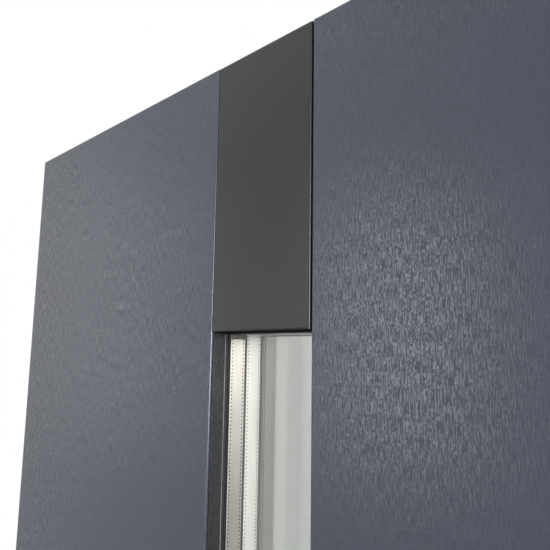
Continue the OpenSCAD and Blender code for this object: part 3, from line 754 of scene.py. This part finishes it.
def butyl_seals(node):
    """Flat ring on each cheek: a rectangle between the cheek and a hair's breadth off the pane."""
    low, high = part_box(node)
    rings = []
    for glass, cheek in zip((low.y + GLASS_GAP, high.y - GLASS_GAP), cheeks(node)):
        line = rounded_line([(BUTYL_START, glass), (0, glass), (0, cheek), (BUTYL_END, cheek),
                             (BUTYL_END, glass), (BUTYL_START, glass)], np.full(4, BUTYL_ROUND))
        rings.append(ring(*inner_face(node), line))
    return together(*rings)


for node, finish in (("outer_spacer", SPACER_GREY), ("inner_spacer", SPACER_WHITE)):
    make_piece(f"{node}_bar", spacer_bar(node), finish, "leaf", [node])
    make_piece(f"{node}_butyl", butyl_seals(node), SEAL_RUBBER, "leaf")

# %% [markdown]
# Along both edges of a bar's inner face runs a row of tiny perforations, through which the drying
# grains inside take up moisture. They are little eight-sided plugs of shade, sunk into the face.
# Real holes could be cut with a Boolean, but nearly two thousand cuts in each bar would be slow and
# leave a ragged mesh.

# %% Perforations
PITCH_ALONG = 3.5 * MM
ROW_SHARE = 0.38
DOT_SIDES, DOT_RADIUS = 8, 0.75 * MM
DOT_SINK, DOT_RISE = 0.4 * MM, 0.03 * MM
DOT_ANGLES = np.arange(DOT_SIDES) * math.tau / DOT_SIDES + math.pi / DOT_SIDES
DOT_CAP = np.array(((0, 1, 2, 3), (0, 3, 4, 7), (4, 5, 6, 7)))
DEEP = np.array((0, 1, 0))


def perforations(node):
    """Plugs in two rows along each side of the bar's inner face.

    Centre = corner + along * place, at the middle depth +- the row's share of the width. Each plug
    has two rings of eight points: centre + radius * (cos * along + sin * deep), sunk or raised
    along the face's normal.
    """
    low, high = inner_face(node)
    front, back = cheeks(node)
    middle = sum(corner.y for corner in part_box(node)) / 2
    row = DEEP * np.array((-1, 1))[:, None] * ROW_SHARE * (back - front)
    corners = np.where(CORNER_SIGNS < 0, low, high)
    sides = []
    for start, end in zip(corners, np.roll(corners, -1, axis=0)):
        length = np.abs(end - start).sum()
        along = np.array((end[0] - start[0], 0, end[1] - start[1])) / length
        inward = np.array((-along[2], 0, along[0]))
        count = round(length / PITCH_ALONG) - 1
        place = (np.arange(count) + 0.5) * length / count
        centre = np.array((start[0], middle, start[1])) + along * place[:, None]
        spoke = np.cos(DOT_ANGLES)[:, None] * along + np.sin(DOT_ANGLES)[:, None] * DEEP
        lift = inward * np.array((-DOT_SINK, DOT_RISE))[:, None]
        dots = centre[:, None, None, None] + row[:, None, None] + lift[:, None] + DOT_RADIUS * spoke
        sides.append(dots.reshape(-1, 2 * DOT_SIDES, 3))
    points = np.concatenate(sides)
    plug = np.concatenate((band(DOT_SIDES), DOT_CAP, DOT_CAP + DOT_SIDES))
    faces = plug + np.arange(len(points))[:, None, None] * 2 * DOT_SIDES
    return points.reshape(-1, 3), faces.reshape(-1, 4)


for node in ("outer_spacer", "inner_spacer"):
    make_piece(f"{node}_perforations", perforations(node), PERFORATION, "leaf")

# %% [markdown]
# At its corners the outer bar is joined by pressed key plates, and their ends show as short
# mottled plates, four to five millimetres tall, on the inner faces. Their dark colour is partly
# the key plates' own and partly painted shade in the corners of the bar. Each is a thin strip,
# drawn as a section and raised along Z.

# %% Corner key plates with painted shade
KEY_TALL, KEY_THICK, KEY_INSET, KEY_ROUND = 4.6 * MM, 0.25 * MM, 0.9 * MM, 0.08 * MM
spacer_low, spacer_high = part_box("outer_spacer")
(_, key_foot), (key_face, key_head) = inner_face("outer_spacer")
key_front, key_back = spacer_low.y + KEY_INSET, spacer_high.y - KEY_INSET
key_middle = (key_front + key_back) / 2
key_line = rounded_line([(key_face, key_middle), (key_face, key_front),
                         (key_face - KEY_THICK, key_front), (key_face - KEY_THICK, key_back),
                         (key_face, key_back), (key_face, key_middle)], np.full(4, KEY_ROUND))
key_heights = ((key_foot, key_foot + KEY_TALL), (key_head - KEY_TALL, key_head))
shaded_key_plates = together(*(bar(key_line, sign, *heights) for sign in (-1, 1) for heights in key_heights))
make_piece("outer_spacer_key_shades", shaded_key_plates, KEY_PLATE_SHADE, "leaf")

# %% [markdown]
# ## The inner bead
#
# On the room side a pale bead holds the unit in: a flange presses on the gasket, and a sleeve runs
# out along the panels' edges. Through the glass it is the light strip behind the second spacer. It
# is one closed section carried round the opening, as the gasket is.

# %% Inner bead
BEAD_RADII = np.array((0.6, 0.2, 0.2, 0.3, 0.3, 0.4)) * MM
bead_low, bead_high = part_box("inner_bead")
core_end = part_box("inner_tray")[1].y
bead_width = opening_low[0] - bead_low.x
bead_middle = (bead_low.y + core_end) / 2
bead_line = rounded_line([(0, bead_middle), (0, bead_high.y), (LINING, bead_high.y),
                          (LINING, core_end), (bead_width, core_end), (bead_width, bead_low.y),
                          (0, bead_low.y), (0, bead_middle)], BEAD_RADII)
make_piece("inner_bead_sleeve", ring(opening_low, opening_high, bead_line), BEAD_PLASTIC, "leaf",
           ["inner_bead"])

# %% [markdown]
# ## Collars
#
# Where a lever leaves its plate, a small collar hides the bearing. It is turned on a lathe, so it
# is a closed section spun round the lever's axis. Blender's Screw modifier could spin it, but the
# arrays already have the grid of faces for it.

# %% Collars
TURN_STEPS = 48
LEVER_RADIUS = 10 * MM
COLLAR = np.array((10.2, 14.5, 2.6, 0.8)) * MM
TURNED_FOOT = 0.1 * MM
OUTWARD, INWARD = (0, -1, 0), (0, 1, 0)


def across_axes(out):
    """Two directions at right angles to out and to each other."""
    upward = np.array((0.0, 0, 1)) if abs(out[2]) < 0.5 else np.array((1.0, 0, 0))
    return np.cross(upward, out), upward


def spun(line, centre, out):
    """Closed line of (radius, height): centre + radius * (cos * u + sin * v) + height * out."""
    u, v = across_axes(out)
    angle = np.arange(TURN_STEPS)[:, None] * math.tau / TURN_STEPS
    spoke = np.cos(angle) * u + np.sin(angle) * v
    radius, height = line[:-1].T
    rise = height[:, None] * np.asarray(out)
    points = np.asarray(centre) + spoke[:, None] * radius[:, None] + rise
    return points.reshape(-1, 3), grid_quads(TURN_STEPS, len(radius), True)


def turned_ring(inner, outer, height, radius):
    """Closed section of a ring with its two upper edges rounded."""
    middle = (inner + outer) / 2
    return rounded_line([(middle, 0), (outer, 0), (outer, height), (inner, height), (inner, 0),
                         (middle, 0)], [TURNED_FOOT, radius, radius, TURNED_FOOT])


handle_low, handle_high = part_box("outer_handle_plate")
lever_x = (handle_low.x + handle_high.x) / 2
lever_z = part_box("outer_lever")[0].z + LEVER_RADIUS
inner_plate_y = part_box("inner_handle_plate")[1].y
collars = together(spun(turned_ring(*COLLAR), (lever_x, handle_low.y, lever_z), OUTWARD),
                   spun(turned_ring(*COLLAR), (lever_x, inner_plate_y, lever_z), INWARD))
make_piece("lever_collars", collars, BLACK_METAL, "leaf")

# %% [markdown]
# The lock cylinder gets a fine rim round its plug, spun in the same way, and a dark upright slot
# for the key. The slot could be cut out of the plug, but it is so narrow that a thin bar of shade
# looks the same.

# %% Lock plug and key slot
CYLINDER_RADIUS = 8.5 * MM
PLUG_RIM = np.array((5.7, 6.5, 0.3, 0.1)) * MM
SLOT_LINE = np.array(((0, -0.05), (0.7, -0.05), (0.7, 0.6), (-0.7, 0.6), (-0.7, -0.05),
                      (0, -0.05))) * MM
SLOT_HALF = 4 * MM
cylinder_low, cylinder_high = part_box("lock_cylinder")
plug_y, plug_z = cylinder_low.y, cylinder_high.z - CYLINDER_RADIUS
make_piece("lock_plug_rim", spun(turned_ring(*PLUG_RIM), (lever_x, plug_y, plug_z), OUTWARD),
           BRUSHED_STEEL, "leaf")
slot_line = SLOT_LINE + np.array((lever_x, plug_y))
make_piece("lock_key_slot", bar(slot_line, 1, plug_z - SLOT_HALF, plug_z + SLOT_HALF),
           PERFORATION, "leaf")

# %% [markdown]
# ## Screws
#
# Plates are held by button-head screws with a hexagonal socket. One screw is five rings of twelve
# points, so it has only a few dozen faces, and all screws of a plate are made in one go. The
# socket's ring follows a hexagon: its radius is the flat's distance divided by the cosine of the
# angle from the middle of that flat.

# %% Screws
SCREW_SIDES = 12
SCREW_ANGLES = np.arange(SCREW_SIDES) * math.tau / SCREW_SIDES
SCREW_HEX = 1 / np.cos((SCREW_ANGLES + math.pi / 6) % (math.pi / 3) - math.pi / 6)
SCREW_CAP = np.array(((0, 1, 2, 3), (0, 3, 4, 11), (4, 5, 10, 11), (5, 6, 9, 10), (6, 7, 8, 9)))
TOP_SHARE, SOCKET_SHARE = 0.84, 0.48
RING_HEIGHTS = np.array((-0.08, 0.03, 0.14, 0.14, -0.04))


def screws(places, out, radius):
    """Screw heads at the places: centre + ring radius * (cos * u + sin * v) + ring height * out."""
    u, v = across_axes(out)
    spoke = np.cos(SCREW_ANGLES)[:, None] * u + np.sin(SCREW_ANGLES)[:, None] * v
    whole, socket = np.ones(SCREW_SIDES), SOCKET_SHARE * SCREW_HEX
    rings = np.stack((whole, whole, TOP_SHARE * whole, socket, socket)) * radius
    heights = RING_HEIGHTS * radius
    one = spoke * rings[..., None] + heights[:, None, None] * np.asarray(out, float)
    points = np.asarray(places, float)[:, None, None] + one
    last = (len(rings) - 1) * SCREW_SIDES
    walls = [band(SCREW_SIDES) + first for first in range(0, last, SCREW_SIDES)]
    head = np.concatenate([*walls, SCREW_CAP, SCREW_CAP + last])
    faces = head + np.arange(len(points))[:, None, None] * (last + SCREW_SIDES)
    return points.reshape(-1, 3), faces.reshape(-1, 4)


print("faces of one screw:", len(screws([(0, 0, 0)], (0, 0, 1), 1)[1]))

# %% [markdown]
# Each row of screws is one line of a table: the plate's node, the axis along which they stand,
# their distances from its two ends in millimetres, the face they sit on, and their radius. A face
# is written as 1, 2 or 3 for X, Y or Z, and is negative on the low side.

# %% Rows of screws
CROSSWISE, UPRIGHT = 0, 2
SCREW_ROWS = (
    ("inner_plate_screws", "inner_handle_plate", UPRIGHT, (13, -13), 2, 3.6,
     BLACK_METAL, "leaf", "black_metal"),
    ("faceplate_screws", "lock_faceplate", UPRIGHT, (12, -12), -1, 4.0,
     BRUSHED_STEEL, "leaf", "bright_steel"),
    ("strike_screws", "strike_plate", UPRIGHT, (14, -14), 1, 4.0,
     BRUSHED_STEEL, "frame", "bright_steel"),
    ("sill_screws", "threshold_cover", CROSSWISE, (40, 293, -293, -40), 3, 4.0,
     BRUSHED_STEEL, "frame", "bright_steel"),
)


def places_on(node, axis, ends, face):
    """Places on a node's box: at the ends along one axis, in the middle of the other, on a face."""
    low, high = (np.array(corner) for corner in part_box(node))
    places = np.tile((low + high) / 2, (len(ends), 1))
    places[:, axis] = [low[axis] + end if end > 0 else high[axis] + end for end in ends]
    places[:, abs(face) - 1] = high[abs(face) - 1] if face > 0 else low[abs(face) - 1]
    return places


for name, node, axis, ends, face, radius, finish, body, slot in SCREW_ROWS:
    out = np.sign(face) * np.eye(3)[abs(face) - 1]
    places = places_on(node, axis, np.array(ends) * MM, face)
    make_piece(name, screws(places, out, radius * MM), finish, body)

# %% [markdown]
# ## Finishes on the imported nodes
#
# The other nodes keep their own shape. Each has a slot in the record, so one table from slot to
# finish dresses all of them, and the inner pane then gets its coating.

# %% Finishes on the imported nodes
SLOT_FINISH = {
    "frame_paint": FRAME_PAINT, "sill_aluminium": SILL_ALUMINIUM, "bright_steel": BRUSHED_STEEL,
    "seal_rubber": SEAL_RUBBER, "black_metal": BLACK_METAL, "leaf_paint": LEAF_PAINT,
    "break_plastic": BREAK_PLASTIC, "grain_panel": GRAIN_FILM, "plate_paint": PLATE_PAINT,
    "lining_film": LINING_FILM, "clear_glass": CLEAR_GLASS, "spacer_metal": SPACER_GREY,
    "bead_plastic": BEAD_PLASTIC,
}
for row in frame["record"]["subparts"]:
    for place in frame["nodes"][row["node"]].material_slots:
        place.material = SLOT_FINISH[row["material_slot"]]
frame["nodes"]["inner_pane"].material_slots[0].material = COATED_GLASS

# %% [markdown]
# ## Light
#
# The door stands in a white studio. A lamp's brightness is easiest to judge by its radiance, how
# bright its face looks, so each softbox gets its power from that: power = pi * radiance * area.
# The brightest stands on the right and draws the lines along the rounded edges. Two tall ones, in
# front and on the left, are mirrored softly in the grain, and they leave free the direction that
# the plate and the glass mirror, so these stay dark and clear. Two hang high, and two light the
# room side: one of them shines through the window onto the spacer bars.

# %% Softboxes
HUMP_EDGE, HUMP_TOP = 1.0, 0.2


def softbox(name, place, aim, width, height, radiance, colour=(1, 1, 1)):
    """Area lamp at a place, facing its aim, that no camera sees.

    Power = pi * radiance * width * height. Across each side its brightness is a smooth hump over
    |2t - 1|, full near the middle and 0 at the edge, so its mirror image has no hard edge.
    """
    lamp = bpy.data.lights.new(name, "AREA")
    lamp.shape, lamp.size, lamp.size_y = "RECTANGLE", width, height
    lamp.energy = math.pi * radiance * width * height
    lamp.color = colour
    lamp.use_nodes = True
    tree = lamp.node_tree
    across = add_node(tree, "ShaderNodeNewGeometry").outputs["Parametric"]
    sides = add_node(tree, "ShaderNodeSeparateXYZ", {0: across}).outputs
    humps = []
    for side in ("X", "Y"):
        away = work_out(tree, "ABSOLUTE", work_out(tree, "MULTIPLY_ADD", sides[side], 2.0, -1.0))
        humps.append(spread_values(tree, away, 0.0, 1.0, HUMP_EDGE, HUMP_TOP, "SMOOTHSTEP"))
    soft = work_out(tree, "MULTIPLY", *humps)
    tree.links.new(soft, tree.nodes["Emission"].inputs["Strength"])
    box = bpy.data.objects.new(name, lamp)
    look = (Vector(aim) - Vector(place)).to_track_quat("-Z", "Y").to_matrix().to_4x4()
    box.matrix_world = Matrix.Translation(place) @ look
    box.visible_camera = False
    bpy.context.scene.collection.objects.link(box)
    print(name, "power:", round(lamp.energy, 1), "W")


softbox("window_softbox", (2.81, -1.185, 2.00), (0, -0.05, 1.80), 1.8, 2.2, radiance=38.5,
        colour=(0.95, 0.97, 1.0))
softbox("high_softbox", (1.6, -1.4, 3.1), (0.1, 0, 2.0), 2.4, 1.2, radiance=1.8)
softbox("ceiling_softbox", (-1.4, -1.8, 3.6), (0.1, -0.05, 1.8), 3.0, 2.0, radiance=0.75)
softbox("front_softbox", (-1.40, -2.50, 1.91), (0.15, -0.05, 1.76), 1.3, 2.5, radiance=5.2)
softbox("left_softbox", (-2.72, -1.64, 2.06), (-0.15, -0.05, 1.80), 1.4, 2.8, radiance=1.6)
softbox("back_softbox", (-1.2, 3.4, 2.6), (0, 0, 1.1), 2.6, 2.0, radiance=4.0)
softbox("room_softbox", (1.8, 1.9, 2.08), (-0.06, 0, 1.75), 1.8, 1.3, radiance=15.2)

# %% [markdown]
# ## World and floor
#
# The world is white where the camera, a reflection or glass looks at it, and dimmer for the light
# that it gives. A white picture behind the door would do the same for one view only, and a Light
# Path node does it for all of them.

# %% World
FILL = 0.12
WHITE = (1, 1, 1, 1)
scene = bpy.context.scene
scene.view_settings.view_transform = "Standard"


def seen_strength(tree):
    """1 for camera, glossy and transmission rays, and the fill's strength for the rest."""
    rays = add_node(tree, "ShaderNodeLightPath").outputs
    sharp = work_out(tree, "MAXIMUM", rays["Is Camera Ray"], rays["Is Glossy Ray"])
    seen = work_out(tree, "MAXIMUM", sharp, rays["Is Transmission Ray"])
    return spread_values(tree, seen, FILL, 1.0)


world = bpy.data.worlds.new("white_studio")
world.use_nodes = True
sky = world.node_tree.nodes["Background"]
sky.inputs["Color"].default_value = WHITE
world.node_tree.links.new(seen_strength(world.node_tree), sky.inputs["Strength"])
scene.world = world
print("world:", world.name, "with a fill of", FILL)

# %% [markdown]
# The floor is a pale round sheet that turns into the same white towards its rim, so no horizon
# shows, and near the door it keeps the shadow.

# %% Floor
FLOOR_RADIUS, FLOOR_SIDES, FLOOR_DROP = 3.2, 96, 1 * MM
FADE_START, FADE_END = 0.9, 2.8
rim = np.linspace(0, math.tau, FLOOR_SIDES, endpoint=False)
rim_points = np.column_stack((FLOOR_RADIUS * np.cos(rim), FLOOR_RADIUS * np.sin(rim),
                              np.full_like(rim, -FLOOR_DROP)))
floor_mesh = bpy.data.meshes.new("pale_floor")
floor_mesh.from_pydata(rim_points.tolist(), [], [list(range(FLOOR_SIDES))])
floor_finish, tree, shader = new_finish("pale_floor", Base_Color=(0.80, 0.80, 0.80, 1),
                                        Roughness=0.7, Specular_IOR_Level=0.1)
place = add_node(tree, "ShaderNodeTexCoord").outputs["Object"]
distance = add_node(tree, "ShaderNodeVectorMath", {0: place}, operation="LENGTH").outputs["Value"]
fade = spread_values(tree, distance, 0.0, 1.0, FADE_START, FADE_END, "SMOOTHSTEP")
white = add_node(tree, "ShaderNodeEmission", {"Color": WHITE, "Strength": seen_strength(tree)})
ground = add_node(tree, "ShaderNodeMixShader", {
    0: fade, 1: shader.outputs["BSDF"], 2: white.outputs["Emission"]})
tree.links.new(ground.outputs["Shader"], tree.nodes["Material Output"].inputs["Surface"])
floor_mesh.materials.append(floor_finish)
floor = bpy.data.objects.new("pale_floor", floor_mesh)
scene.collection.objects.link(floor)
floor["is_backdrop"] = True
print("floor:", 2 * FLOOR_RADIUS, "m across")

# %% [markdown]
# ## Size and finish
#
# The dressed door must stay as large as the construction, so the last line prints how far the
# dressed box lies from the construction's box.

# %% Size and finish
dressed_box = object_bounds()
change = np.array([list(corner) for corner in dressed_box]) - [list(corner) for corner in cad_box]
print("size change:", change.round(5).tolist())
